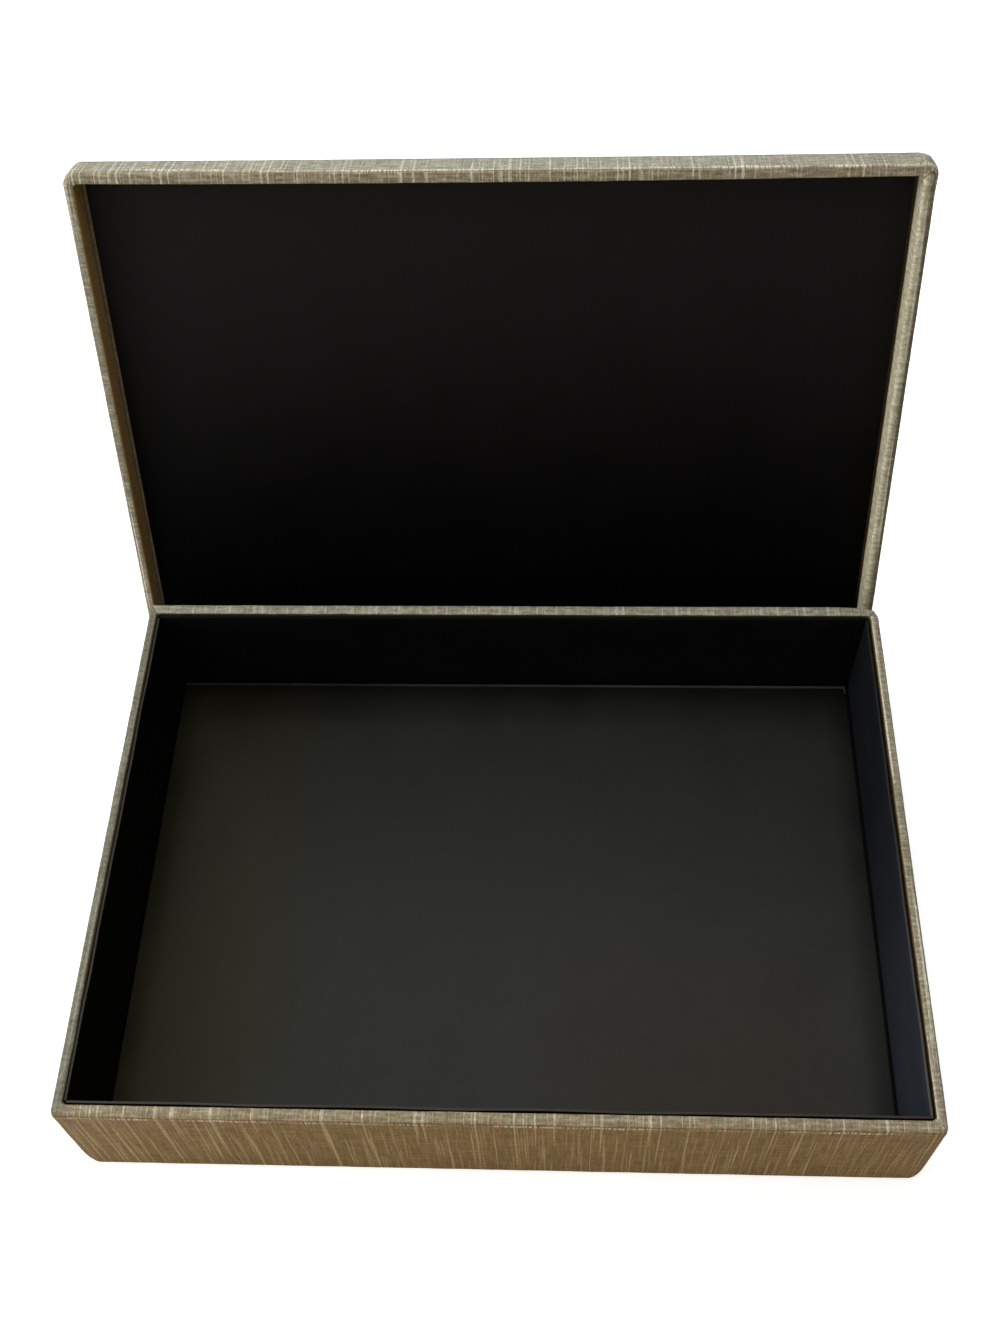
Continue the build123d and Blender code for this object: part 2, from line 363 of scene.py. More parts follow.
def bookCloth():
    # Slubbed cloth. Map "cloth" runs across the slubs in U and along them in V, "fold" has the distance along
    # a rim in U and round its edge in V, the third map has the distance from a mitre in U and how far painted
    # sheen greys the cloth in V, and the fourth has how bright painted light and shade make it in U and how
    # much its slubs show in V.
    material, tree, shader = newMaterial("bookCloth")
    maps = ("cloth", "fold", "seamAndSheen", "paintedLight")
    threads, fold, seamAndSheen, paintedLight = (put(tree, "ShaderNodeUVMap", uv_map=name).outputs[0] for name in maps)
    turned = put(tree, "ShaderNodeMapping", {"Vector": threads, "Rotation": (0, 0, math.pi / 2)}).outputs[0]
    seen = {**layStreaks(tree, threads, warpStreaks), **layStreaks(tree, turned, weftStreaks)}
    seen["weave"] = useGroup(tree, weaveGroup, Vector=threads, Pitch=cloth["pitch"])
    glintDashes = useGroup(tree, foldGroup, Vector=fold, **cloth["glintPlace"])
    edge = calc(tree, "MULTIPLY", split(tree, fold)[1], 1 / mm)
    fromSeam, sheenShare = split(tree, seamAndSheen)[:2]
    bright, slubbed = split(tree, paintedLight)[:2]

    # colour: golden cloth mixed with cloth greyed by painted sheen, with painted shade in the crease at a
    # fold
    creaseShade = fade(tree, edge, *cloth["creaseFrom"])
    creaseShade = product(tree, creaseShade, fade(tree, edge, *cloth["creaseTo"], 1.0, 0.0))
    stray = fade(tree, seen["patch"], 0, 1, -cloth["stray"], cloth["stray"])
    stray = product(tree, stray, fade(tree, sheenShare, 0, 1, *cloth["strayShare"]))
    grey = put(tree, "ShaderNodeClamp", {0: calc(tree, "ADD", sheenShare, stray)}).outputs[0]
    golden = mixColour(tree, seen["tone"], cloth["olive"], cloth["brown"])
    sheenColour = mixColour(tree, seen["tone"], cloth["sheenGreyGreen"], cloth["sheenBeige"])
    colour = mixColour(tree, grey, golden, sheenColour)
    colour = mixColour(tree, product(tree, creaseShade, cloth["creased"]), colour, cloth["creaseShade"])

    # brightness: the threads, painted light and shade, mottling in the painted sheen and the painted shadow
    # in the gap at a mitre
    names = ("fine", "weft", "grain")
    fine, weft, grain = (fade(tree, seen[name], 0, 1, *streakShade[name]) for name in names)
    sockets = {0: calc(tree, "ADD", slubbed, cloth["threadsLeft"]), 2: 1.0, 3: product(tree, fine, weft)}
    shade = put(tree, "ShaderNodeMix", sockets).outputs[0]
    patch = fade(tree, product(tree, grey, seen["patch"]), 0, 1, *streakShade["patch"])
    shade = product(tree, shade, bright, patch, fade(tree, seen["weave"], *weaveShade), grain)
    near = calc(tree, "MULTIPLY", fromSeam, 1 / mm)
    colour = shaded(tree, colour, shade)
    colour = shaded(tree, colour, fade(tree, near, *cloth["mitreGap"], cloth["mitre"], 1.0))

    # light threads: slubs, a painted highlight beside a mitre, and painted highlights in dashes at a fold
    mitreGlint = fade(tree, near, *cloth["mitreGlintFrom"])
    mitreGlint = product(tree, mitreGlint, fade(tree, near, *cloth["mitreGlintTo"], 1.0, 0.0))
    mitreGlint = product(tree, mitreGlint, fade(tree, seen["weft"], *cloth["mitreGlintThread"]))
    slubs = product(tree, seen["slubs"], cloth["slub"])
    strong = product(tree, seen["strong"], cloth["strong"])
    uneven = fade(tree, seen["grain"], 0, 1, *cloth["slubUneven"])
    light = product(tree, calc(tree, "MAXIMUM", slubs, strong), uneven)
    light = calc(tree, "MAXIMUM", light, product(tree, seen["weftSlubs"], cloth["weftSlub"]))
    light = calc(tree, "MAXIMUM", light, product(tree, mitreGlint, cloth["mitreGlint"]))
    light = product(tree, light, slubbed)
    colour = mixColour(tree, light, colour, mixColour(tree, grey, cloth["slubWarm"], cloth["slubSheen"]))
    foldGlint = mixColour(tree, grey, cloth["foldGlint"], cloth["slubSheen"])
    colour = mixColour(tree, product(tree, glintDashes, cloth["glintDashes"]), colour, foldGlint)

    seen["light"] = light
    height = product(tree, seen["weave"], relief["weave"])
    for name in ("fine", "light", "weft", "grain"):
        height = calc(tree, "ADD", height, product(tree, seen[name], relief[name]))
    bump = {"Height": height, "Strength": reliefStrength, "Distance": reliefDepth}
    rough = (cloth["roughness"] + part for part in cloth["roughSpread"])
    feed(tree, shader, {
        "Base Color": colour,
        "Roughness": fade(tree, seen["fine"], 0, 1, *rough),
        "Specular IOR Level": fade(tree, bright, *cloth["specularBright"], *cloth["specular"]),
        "Sheen Weight": fade(tree, bright, *cloth["sheenBright"], 0.0, cloth["sheen"]),
        "Sheen Roughness": cloth["sheenRoughness"],
        "Normal": put(tree, "ShaderNodeBump", bump).outputs[0],
    })
    return material


# the cards' own surface; a pair of noise values says where something starts and where it is full
card = {
    "cloud": {"Scale": 28.0, "Detail": 5.0, "Roughness": 0.6},
    "fibre": {"Scale": 1400.0, "Detail": 3.0, "Roughness": 0.7},
    "light": (0.3, 0.7),
    "whole": (0.35, 0.6),                    # of a cut edge, which breaks up below it
    "rough": (0.25, 0.75),
    "roughSpread": (-0.05, 0.06),
    "relief": 0.35,
}

# tints, cut edges, painted highlights and painted light and shade on the cards; the floor's tints lie along X
# and Y
cardMarks = {
    "cutEdgeAndGlint": (0.045, 0.038, 0.033, 1),      # a card's cut edge, its grey partly a painted highlight
    "rawBlend": 0.1 * mm,
    "rawLeft": 0.6,                          # what is left of it where it breaks up
    "green": (1.08, 0.93, 0.45, 1),
    "greenTo": (-100 * mm, -50 * mm),        # whole up to the first, gone from the second
    "greenStray": 40 * mm,
    "brown": (1.06, 0.84, 0.74, 1),
    "brownFrom": (-10 * mm, 50 * mm),
    "brownTo": (115 * mm, 155 * mm),
    "brownBack": (-80 * mm, 0.0),
    # the next is a painted highlight on the floor card's raised rear edge, turning at its right corner
    "edgeHighlight": (0.17, 0.17, 0.165, 1),
    "paleRear": (-1.9 * mm, -1.1 * mm),      # from the floor card's rear edge
    "paleRearShare": 0.62,
    "paleSide": (-1.1 * mm, -0.7 * mm),      # from its right edge
    "paleTurn": (-5 * mm, -3 * mm),          # how far along Y the line turns
    "paleAlong": (-150 * mm, 150 * mm),
    "paleLeft": 0.45,                        # what is left of it at the left
    "paleBroken": 0.5,                         # and where it breaks up
    "lowShadeFrom": 40 * mm,                     # the lower end of a card's painted shade
    "lowShade": (0.22, 1.15),                    # its brightness there, and at its upper end
    "frontAt": -120 * mm,                    # the front of a card's painted light and shade along Y
    "endAt": (80 * mm, 115 * mm),            # and its very rear
}


def cutEdgeWithGlint(tree, colour, place, share, above):
    # the cut edge's grey, partly a painted highlight
    edgeAndGlint = fade(tree, split(tree, place)[2], above, above + cardMarks["rawBlend"])
    edgeAndGlint = product(tree, edgeAndGlint, fade(tree, share, *card["whole"], cardMarks["rawLeft"], 1.0))
    return mixColour(tree, edgeAndGlint, colour, cardMarks["cutEdgeAndGlint"])


def tintedFloor(tree, colour, place, share, cloud, corner):
    # A green and a brown patch, and a painted highlight along the rear edge that turns the corner.
    across, along, _ = split(tree, place)
    strayed = calc(tree, "ADD", across, product(tree, cloud, cardMarks["greenStray"]))
    green = fade(tree, strayed, *cardMarks["greenTo"], 1.0, 0.0)
    brown = [fade(tree, across, *cardMarks["brownFrom"]), fade(tree, across, *cardMarks["brownTo"], 1.0, 0.0)]
    brown = product(tree, *brown, fade(tree, along, *cardMarks["brownBack"], 1.0, 0.0))
    colour = mixColour(tree, green, colour, cardMarks["green"], "MULTIPLY")
    colour = mixColour(tree, brown, colour, cardMarks["brown"], "MULTIPLY")
    behind = [corner[1] + part for part in cardMarks["paleRear"]]
    behind = fade(tree, along, *behind, 0.0, cardMarks["paleRearShare"])
    beside = fade(tree, across, *(corner[0] + part for part in cardMarks["paleSide"]))
    beside = product(tree, beside, fade(tree, along, *(corner[1] + part for part in cardMarks["paleTurn"])))
    edgeAndGlint = calc(tree, "MAXIMUM", behind, beside)
    edgeAndGlint = product(tree, edgeAndGlint, fade(tree, share, *card["whole"], cardMarks["paleBroken"], 1.0))
    edgeAndGlint = product(tree, edgeAndGlint, fade(tree, across, *cardMarks["paleAlong"], cardMarks["paleLeft"], 1.0))
    return mixColour(tree, edgeAndGlint, colour, cardMarks["edgeHighlight"])


def paintShadeAlong(tree, colour, place, shadeAlong):
    # painted light and shade: brighter towards the front, darker at the very rear
    along = split(tree, place)[1]
    shade = fade(tree, along, cardMarks["frontAt"], shadeAlong["upTo"], shadeAlong["front"], shadeAlong["rear"])
    shade = product(tree, shade, fade(tree, along, *cardMarks["endAt"], 1.0, shadeAlong["end"]))
    return shaded(tree, colour, shade)


def cardPaper(
    name, dark, light, roughness, specular, grain, rawAbove=None, lowShadeTo=None, corner=None, shadeAlong=None
):
    # Card or paper: fine fibres in colour, gloss and relief, on Object coordinates. Above the height rawAbove
    # a card's cut edge shows, its grey partly a painted highlight, and below a given height painted shade
    # makes it darker and less glossy the lower it is. The corner is the floor card's, and brings its tints
    # and a painted highlight along its rear edge. Where a card has painted light and shade along Y, its
    # brightness goes from
    # "front" to "rear" by "upTo" along Y, and is "end" times that at the very rear.
    material, tree, shader = newMaterial(name)
    place = put(tree, "ShaderNodeTexCoord").outputs["Object"]
    noises = (put(tree, "ShaderNodeTexNoise", {"Vector": place, **card[kind]}) for kind in ("cloud", "fibre"))
    cloud, fibre = (made.outputs["Fac"] for made in noises)
    share = calc(tree, "ADD", product(tree, cloud, 0.5), product(tree, fibre, 0.5))
    colour = mixColour(tree, fade(tree, share, *card["light"]), (*dark, 1), (*light, 1))
    if rawAbove:
        colour = cutEdgeWithGlint(tree, colour, place, share, rawAbove)
    if corner:
        colour = tintedFloor(tree, colour, place, share, cloud, corner)
    # painted shade: darker and less glossy the lower it is
    if lowShadeTo:
        lowShade = fade(tree, split(tree, place)[2], cardMarks["lowShadeFrom"], lowShadeTo, *cardMarks["lowShade"])
        colour = shaded(tree, colour, lowShade)
        specular = product(tree, lowShade, specular)
    if shadeAlong:
        colour = paintShadeAlong(tree, colour, place, shadeAlong)
    bump = {"Height": fibre, "Strength": card["relief"], "Distance": grain}
    rough = (roughness + part for part in card["roughSpread"])
    feed(tree, shader, {
        "Base Color": colour,
        "Specular IOR Level": specular,
        "Roughness": fade(tree, cloud, *card["rough"], *rough),
        "Normal": put(tree, "ShaderNodeBump", bump).outputs[0],
    })
    return material


cutHeight = tray["top"] - 1.1 * mm   # above this the liners' cut edges show, partly as a painted highlight
linerLook = (0.65, 0.08, 0.05 * mm)   # roughness, specular, grain
# painted light and shade along Y, on the right liner and on the floor card
litLinerShade = {"upTo": 40 * mm, "front": 1.55, "rear": 0.42, "end": 0.85}
floorShade = {"upTo": 60 * mm, "front": 2.15, "rear": 1.15, "end": 0.42}
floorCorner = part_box("base_floor_liner")[1]

clothFinish = bookCloth()
edgedFinish = cardPaper(
    "edgedCard", (0.0010, 0.0012, 0.0008), (0.0030, 0.0032, 0.0022), *linerLook, cutHeight
)
linerFinish = cardPaper("linerCard", (0.0008, 0.0008, 0.0010), (0.0022, 0.0022, 0.0026), *linerLook)
# the floor card, with painted light and shade along Y
floorFinish = cardPaper(
    "floorCard", (0.0070, 0.0072, 0.0064), (0.0126, 0.0129, 0.0113), 0.47, 0.12, 0.04 * mm,
    corner=floorCorner, shadeAlong=floorShade
)
# the right liner: a lighter, bluer copy of the liner card, its extra brightness painted light
litFinish = cardPaper(
    "litLinerCard", (0.0100, 0.0118, 0.0160), (0.0155, 0.0178, 0.0230), *linerLook, cutHeight,
    shadeAlong=litLinerShade
)
# the lid's panel, with painted shade low down
panelFinish = cardPaper(
    "panelCard", (0.0022, 0.0017, 0.0017), (0.0052, 0.0042, 0.0042), 0.6, 0.10, 0.05 * mm, lowShadeTo=220 * mm
)
boardFinish = cardPaper("greyboard", (0.17, 0.15, 0.12), (0.30, 0.27, 0.22), 0.85, 0.2, 0.08 * mm)
tapeFinish = cardPaper("gummedPaper", (0.34, 0.24, 0.12), (0.46, 0.34, 0.2), 0.75, 0.3, 0.03 * mm)
infillFinish = cardPaper("infillCard", (0.42, 0.39, 0.33), (0.52, 0.49, 0.43), 0.8, 0.3, 0.04 * mm)
bottomFinish = cardPaper(
    "blackFacedBoard", (0.004, 0.004, 0.004), (0.009, 0.009, 0.009), 0.8, 0.1, 0.05 * mm
)
undersideFinish = cardPaper(
    "undersidePaper", (0.008, 0.008, 0.008), (0.02, 0.02, 0.02), 0.7, 0.3, 0.05 * mm
)
floorFinish.node_tree.nodes["Principled BSDF"].inputs["Specular Tint"].default_value = (1.0, 0.97, 0.90, 1)
print("materials made")


# mesh helpers
def newPiece(name, bm, material, body, replaced):
    mesh = bpy.data.meshes.new(name)
    bm.to_mesh(mesh)
    bm.free()
    mesh.shade_smooth()
    mesh.materials.append(material)
    piece = bpy.data.objects.new(name, mesh)
    bpy.context.scene.collection.objects.link(piece)
    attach(piece, body)
    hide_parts(replaced)
    return piece


def newCloth(name, bm, body, replaced):
    piece = newPiece(name, bm, clothFinish, body, replaced)
    solid = piece.modifiers.new("thickness", "SOLIDIFY")
    solid.thickness = fabric["sheet"]
    solid.offset = -1


def foldedPath(corners, radii):
    # Rows (s, place, outward) along a path that rolls round its inner corners, and s at each corner. A place
    # is how far inward and how high.
    points, marks = [Vector(corners[0])], []

    def runTo(end):
        begin = points[-1]
        run = end - begin
        pieces = max(1, round(run.length / fabric["step"]))
        points.extend(begin + run * (n + 1) / pieces for n in range(pieces))

    for before, corner, after, radius in zip(corners, corners[1:], corners[2:], radii):
        into = (Vector(corner) - Vector(before)).normalized()
        away = (Vector(after) - Vector(corner)).normalized()
        start = Vector(corner) - into * radius
        middle = start + away * radius
        runTo(start)
        marks.append(len(points) - 1 + fabric["rollSteps"] // 2)
        for n in range(1, fabric["rollSteps"] + 1):
            turn = math.pi / 2 * n / fabric["rollSteps"]
            points.append(middle - away * radius * math.cos(turn) + into * radius * math.sin(turn))
    runTo(Vector(corners[-1]))
    rows, s = [], 0.0
    for n, point in enumerate(points):
        s += (point - points[n - 1]).length if n else 0.0
        run = (points[min(n + 1, len(points) - 1)] - points[max(n - 1, 0)]).normalized()
        rows.append((s, point, Vector((-run.y, run.x))))
    return rows, [rows[mark][0] for mark in marks]


def ease(value):
    held = max(0.0, min(1.0, value))
    return held * held * (3 - 2 * held)


def cornerOf(box, side, along, height):
    # The outer radius of the corner that this end of a side runs into.
    farRight = (side, along > 0) in (("right", True), ("rear", False))
    if box is lid:
        return lid["cornerFull"] if farRight else lid["corner"]
    low = max(0.0, 1 - (height - tray["bottom"]) / tray["footReach"])
    radius = tray["corner"] + (tray["cornerFoot"] - tray["corner"]) * (1 - math.sqrt(1 - low * low))
    if farRight:
        paintedLight = ease((height - tray["top"] + tray["wornBelow"]) / tray["wornRise"])
        radius += (tray["cornerWorn"] - tray["corner"]) * paintedLight
    return radius


def roundedCorner(along, inward, half, thick, outside):
    # Bring a point near a square corner round to the corner's arc; the 45 degree line stays put.
    rise = (inward - fabric["innerFrom"]) / (thick - fabric["innerFrom"])
    fall = (fabric["innerTo"] - inward) / (fabric["innerTo"] - thick)
    radius = max(outside - inward, fabric["innerRadius"] * min(ease(rise), ease(fall)))
    fromEnd = half - inward - abs(along)
    if fromEnd >= radius:
        return along, inward
    turn = math.pi / 4 * (1 - fromEnd / radius)
    end = half - inward - radius + radius * math.sin(turn)
    return math.copysign(end, along), inward + radius * (1 - math.cos(turn))


def columnsFor(half):
    # Places from -1 to 1 along a sheet, close together where the corner is round.
    reach, count = fabric["endReach"] / half, fabric["endColumns"]
    near = [1 - reach * (n / count) ** fabric["endCrowding"] for n in range(count + 1)]
    middle = round(2 * half / fabric["step"])
    places = [near[-1] * (2 * n / middle - 1) for n in range(1, middle)]
    return sorted([-place for place in near] + places + near)


def flatSheet(bm, columns, rows):
    # A flat grid whose vertices know their column and row, ready to be folded.
    made = bmesh.ops.create_grid(bm, x_segments=columns - 1, y_segments=rows - 1, size=0.5)["verts"]
    spots = ((vert, vert.co.x + 0.5, vert.co.y + 0.5) for vert in made)
    return [(vert, round(x * (columns - 1)), round(y * (rows - 1))) for vert, x, y in spots]


def wander(point):
    slow, quick = (noise.noise_vector(point * rate) for rate in fabric["unevenRates"])
    return slow * fabric["uneven"] + quick * fabric["uneven"] * fabric["unevenQuick"]


# the lid's walls: where each is as the lid is made, and its name when the lid is on
turnedOver = {"front": "rear", "rear": "front", "left": "left", "right": "right"}
turnOf = {"front": 0.0, "right": math.pi / 2, "rear": math.pi, "left": -math.pi / 2}
clothFrom = {"front": 0.0, "rear": 0.83, "left": 1.61, "right": 2.47}   # where on the roll each is cut


def layMaps(bm, faces, maps):
    for name, places in maps.items():
        layer = bm.loops.layers.uv.get(name) or bm.loops.layers.uv.new(name)
        for face in faces:
            for loop in face.loops:
                loop[layer].uv = places[loop.vert]


def faceAway(bm, faces, direction):
    # The face that lies farthest that way must look that way.
    bm.normal_update()
    farthest = max(faces, key=lambda face: face.calc_center_median().dot(direction))
    if farthest.normal.dot(direction) < 0:
        bmesh.ops.reverse_faces(bm, faces=faces)


def overlap(fromSeam):
    # At a mitre one sheet lies over the end of the next and stands up a little.
    return fabric["overlap"] * max(0.0, 1 - fromSeam / fabric["overlapReach"]) ** 2


def shifted(inward, wall, more, reach=60 * mm):
    # How far a point this far inside a wall's face moves when the wall is that much thicker.
    return more * max(0.0, min(1.0, inward / wall)) * (1 - ease((inward - 2 * wall) / reach))


def reshapeTray(place, left, right, front, rear):
    # Its front wall is thicker, its side ones thinner, and its rear cloth is loose.
    wall = tray["wall"]
    place.x += shifted(left, wall, tray["wallSide"]) - shifted(right, wall, tray["wallSide"])
    place.x -= tray["outLeft"] * (1 - ease(left / wall))
    place.y += shifted(front, wall, tray["wallFront"])
    high = ease((place.z - tray["top"] + tray["looseBelow"]) / tray["looseRise"])
    loose = 1 - (1 - tray["looseEnd"]) * (1 - ease((right - tray["endFrom"]) / tray["endReach"]))
    place.y += tray["looseRear"] * loose * high * ease((wall - rear) / wall)


def reshapeLid(place, left, right, rear):
    # Its walls differ, its top wall hangs and the cloth of its top right corner is gathered.
    wall = lid["wall"]
    gathered = 1 - ease(max(right, rear) / lid["bulgeReach"])
    gathered *= 1 - ease(min(right, rear) / lid["bulgeDepth"])
    gathered *= ease(place.z / lid["bulgeFoot"])
    gathered *= ease((lid["height"] + lid["bulgeOver"] - place.z) / lid["bulgeHead"])
    diagonal = lid["bulgeShare"] * lid["bulge"] * gathered
    place.x += shifted(left, wall, lid["wallLeft"]) - shifted(right, wall, lid["wallRight"]) + diagonal
    place.y += diagonal
    place.x += lid["outRight"] * (1 - ease(right / wall)) - lid["outLeft"] * (1 - ease(left / wall))
    middle = max(0.0, 1 - (2 * place.x / lid["length"]) ** 2)
    hang = lid["bow"] + shifted(rear, wall, lid["bowRim"], lid["bowReach"])
    place.y -= middle * hang * (1 - ease((rear - wall) / lid["bowReach"]))


def reshape(box, place):
    left, right = box["length"] / 2 + place.x, box["length"] / 2 - place.x
    front, rear = box["depth"] / 2 + place.y, box["depth"] / 2 - place.y
    if box is tray:
        reshapeTray(place, left, right, front, rear)
    else:
        reshapeLid(place, left, right, rear)


# Each side of a box has zones, and a zone is how far painted sheen greys the cloth there, how bright painted
# light and shade make it and how much its slubs show. Along a wall the zones are told by the distance round
# the rim's outer edge.
zoneEnds = {
    "rim": -0.7 * mm,            # the rim's zone starts here and ends "short" of the wall's inner edge
    "deep": 10 * mm,             # the inside's goes this far past that edge, or as far as the side's "deep"
    "slipFrom": 110 * mm,        # a side's "slip" moves its outer edge down the wall: it starts this far from
    "slipReach": 100 * mm,       # the left end, grows over this length
    "slipFade": 3 * mm,          # and is gone this far round the edge
}
glintShift = 0.05                    # moves a fold's painted highlights away where the cloth shows none
lidGlintShift = -1.6 * mm              # and brings those painted highlights nearer to the lid's inner edge


def zoneOf(zones, fromEdge, wall, toFront):
    # toFront is how near a place is to the tray's front, where the side rims' band of painted sheen is as
    # wide as the rim.
    if fromEdge < zoneEnds["rim"]:
        return zones["outside"]
    if fromEdge < wall - zones["short"] * (1 - toFront):
        return zones["rim"]
    return zones["inside"] if fromEdge < wall + zones.get("deep", zoneEnds["deep"]) else zones["beyond"]


def foldStrip(bm, box, side, rows, edge, zones, oneSheet=False):
    # One side's cloth: a flat sheet folded along its rows, with its ends cut at 45 degrees. The rim's outer
    # edge is where s is edge.
    lengthwise = side in ("front", "rear")
    half, other = box["length"] / 2, box["depth"] / 2
    if not lengthwise:
        half, other = other, half
    columns = columnsFor(half)
    turn = Matrix.Rotation(turnOf[side], 3, "Z")
    made = flatSheet(bm, len(columns), len(rows))
    maps = {"cloth": {}, "fold": {}, "seamAndSheen": {}, "paintedLight": {}}
    for vert, column, row in made:
        s, place, out = rows[row]
        along = columns[column] * (half - place.x)
        fromSeam = half - place.x - abs(along)
        bent, inset = roundedCorner(along, place.x, half, box["wall"], cornerOf(box, side, along, place.y))
        lift = out * (overlap(fromSeam) if lengthwise and not oneSheet else 0.0)
        vert.co = turn @ Vector((bent, inset + lift.x - other, place.y + lift.y))
        reshape(box, vert.co)
        across = along if side in ("front", "right") else -along
        maps["cloth"][vert] = (across + clothFrom[side], s) if lengthwise else (s + clothFrom[side], across)
        if oneSheet:
            maps["cloth"][vert] = (vert.co.x, vert.co.y)
        toFront = ease(-(vert.co.y + tray["sheenBandFrom"]) / tray["sheenBandReach"]) if box is tray else 0.0
        slip = zones.get("slip", 0.0) * ease((along - half + zoneEnds["slipFrom"]) / zoneEnds["slipReach"])
        fromEdge = s - edge + slip * (1 - ease((s - edge) / zoneEnds["slipFade"]))
        grey, bright, slubbed = zoneOf(zones, fromEdge, box["wall"], toFront)
        maps["fold"][vert] = (along, fromEdge + zones["glintShift"])
        maps["seamAndSheen"][vert] = (fromSeam, grey)
        maps["paintedLight"][vert] = (bright, slubbed)
        vert.co += wander(vert.co)
    faces = list({face for vert, _, _ in made for face in vert.link_faces})
    layMaps(bm, faces, maps)
    return faces, turn @ Vector((0, -1, 0))


# the tray's cloth: under the bottom, up the outside, over the rim and down the inside
# for each zone: how far painted sheen greys it, its brightness from painted light and shade, and how much its
# slubs show
trayZones = {
    "front": {"outside": (0.0, 1.0, 1.0), "rim": (0.6, 1.0, 0.75), "inside": (0.4, 0.3, 0.2)},
    "rear": {"outside": (0.35, 0.98, 1.0), "rim": (1.0, 0.98, 0.5), "inside": (0.6, 0.2, 0.0)},
    "left": {"outside": (0.3, 1.0, 1.0), "rim": (1.0, 0.55, 0.2), "inside": (0.5, 0.35, 0.0)},
    "right": {"outside": (0.3, 1.0, 1.0), "rim": (0.8, 0.96, 0.9), "inside": (0.3, 0.6, 0.0)},
}
trayShort = {"front": 0.0, "rear": 0.3 * mm, "left": 0.9 * mm, "right": 0.5 * mm}
for side, zones in trayZones.items():
    zones["short"] = trayShort[side]
    zones["beyond"] = zones["inside"]
    zones["glintShift"] = 0.0 if side == "front" else glintShift


def trayCloth(side):
    corners = [
        (tray["turnUnder"], tray["bottom"]),
        (0.0, tray["bottom"]),
        (0.0, tray["top"]),
        (tray["wall"], tray["top"]),
        (tray["wall"], tray["top"] - tray["turnIn"]),
    ]
    rows, marks = foldedPath(corners, (fabric["edgeRadius"], fabric["rimOuter"], fabric["rimInner"]))
    bm = bmesh.new()
    faces, outward = foldStrip(bm, tray, side, rows, marks[1], trayZones[side])
    faceAway(bm, faces, outward)
    newCloth(f"tray_{side}_cloth", bm, "base", f"base_{side}_cloth")


for side in turnOf:
    trayCloth(side)
print("tray covered")


# the lid's cloth: one sheet over the top, and a strip round each wall, its rim and its inside
# for each zone: how far painted sheen greys it, its brightness from painted light and shade, and how much its
# slubs show
lidZones = {
    "front": {"outside": (0.5, 1.0, 1.0), "rim": (1.0, 0.86, 1.0), "inside": (0.3, 0.9, 0.6)},
    "rear": {"outside": (0.92, 0.96, 0.65), "rim": (0.7, 0.96, 0.9), "inside": (0.4, 0.8, 0.6)},
    "left": {"outside": (0.9, 0.95, 1.0), "rim": (0.95, 0.84, 1.0), "inside": (0.1, 1.75, 0.1)},
    "right": {"outside": (0.9, 0.95, 1.0), "rim": (0.75, 0.52, 0.9), "inside": (0.9, 1.85, 0.2)},
}
lidShort = {"front": 0.3 * mm, "rear": 0.3 * mm, "left": 1.0 * mm, "right": 1.5 * mm}
# beyond the inside zone, painted shade darkens the margin beside the lid's panel
for side, zones in lidZones.items():
    zones["short"] = lidShort[side]
    zones["beyond"] = (0.25, 0.26, 0.0)
    zones["glintShift"] = glintShift if side == "right" else lidGlintShift
# with less painted shade on the left margin
lidZones["left"]["beyond"] = (0.45, 0.74, 0.1)
lidZones["right"]["deep"] = 9 * mm
lidZones["rear"]["slip"] = 3.5 * mm
# the lid's top: its grey is painted sheen
topZones = {"outside": (0.6, 0.92, 0.8), "glintShift": glintShift}
topEdge = 14 * mm                # keeps the whole top sheet in its outside zone
noSeam = 0.1                     # a place far from any mitre


def lidWallCloth(side):
    corners = [
        (0.0, lid["split"]),
        (0.0, lid["height"]),
        (lid["wall"], lid["height"]),
        (lid["wall"], lid["inside"]),
        (lid["wall"] + lid["turnIn"], lid["inside"]),
    ]
    rows, marks = foldedPath(corners, (fabric["rimOuter"], fabric["rimInner"], fabric["turnedRadius"]))
    bm = bmesh.new()
    faces, outward = foldStrip(bm, lid, side, rows, marks[0], lidZones[side])
    faceAway(bm, faces, outward)
    bm.transform(lidStand)
    name = turnedOver[side]
    newCloth(f"lid_{name}_wrap", bm, "lid", f"lid_{name}_cloth")


def lidTopCloth():
    # Four strips round the edge and a sheet between them, joined into one.
    radius = lid["corner"]
    rows, marks = foldedPath([(radius, 0.0), (0.0, 0.0), (0.0, lid["split"])], (fabric["edgeRadius"],))
    bm = bmesh.new()
    for side in turnOf:
        foldStrip(bm, lid, side, rows, marks[0] + topEdge, topZones, oneSheet=True)
    columns, lines = columnsFor(lid["length"] / 2), columnsFor(lid["depth"] / 2)
    made = flatSheet(bm, len(columns), len(lines))
    maps = {"cloth": {}, "fold": {}, "seamAndSheen": {}, "paintedLight": {}}
    for vert, column, line in made:
        x = columns[column] * (lid["length"] / 2 - radius)
        y = lines[line] * (lid["depth"] / 2 - radius)
        vert.co = Vector((x, y, 0.0))
        reshape(lid, vert.co)
        maps["cloth"][vert] = (x, y)
        maps["fold"][vert] = (x, glintShift)
        maps["seamAndSheen"][vert] = (noSeam, topZones["outside"][0])
        maps["paintedLight"][vert] = topZones["outside"][1:]
        vert.co += wander(vert.co)
    layMaps(bm, list({face for vert, _, _ in made for face in vert.link_faces}), maps)
    bmesh.ops.remove_doubles(bm, verts=bm.verts, dist=0.001 * mm)
    bmesh.ops.recalc_face_normals(bm, faces=bm.faces)
    faceAway(bm, list(bm.faces), Vector((0, 0, -1)))
    bm.transform(lidStand)
    newCloth("lid_top_wrap", bm, "lid", "lid_top_cloth")


for side in turnOf:
    lidWallCloth(side)
lidTopCloth()
print("lid covered")


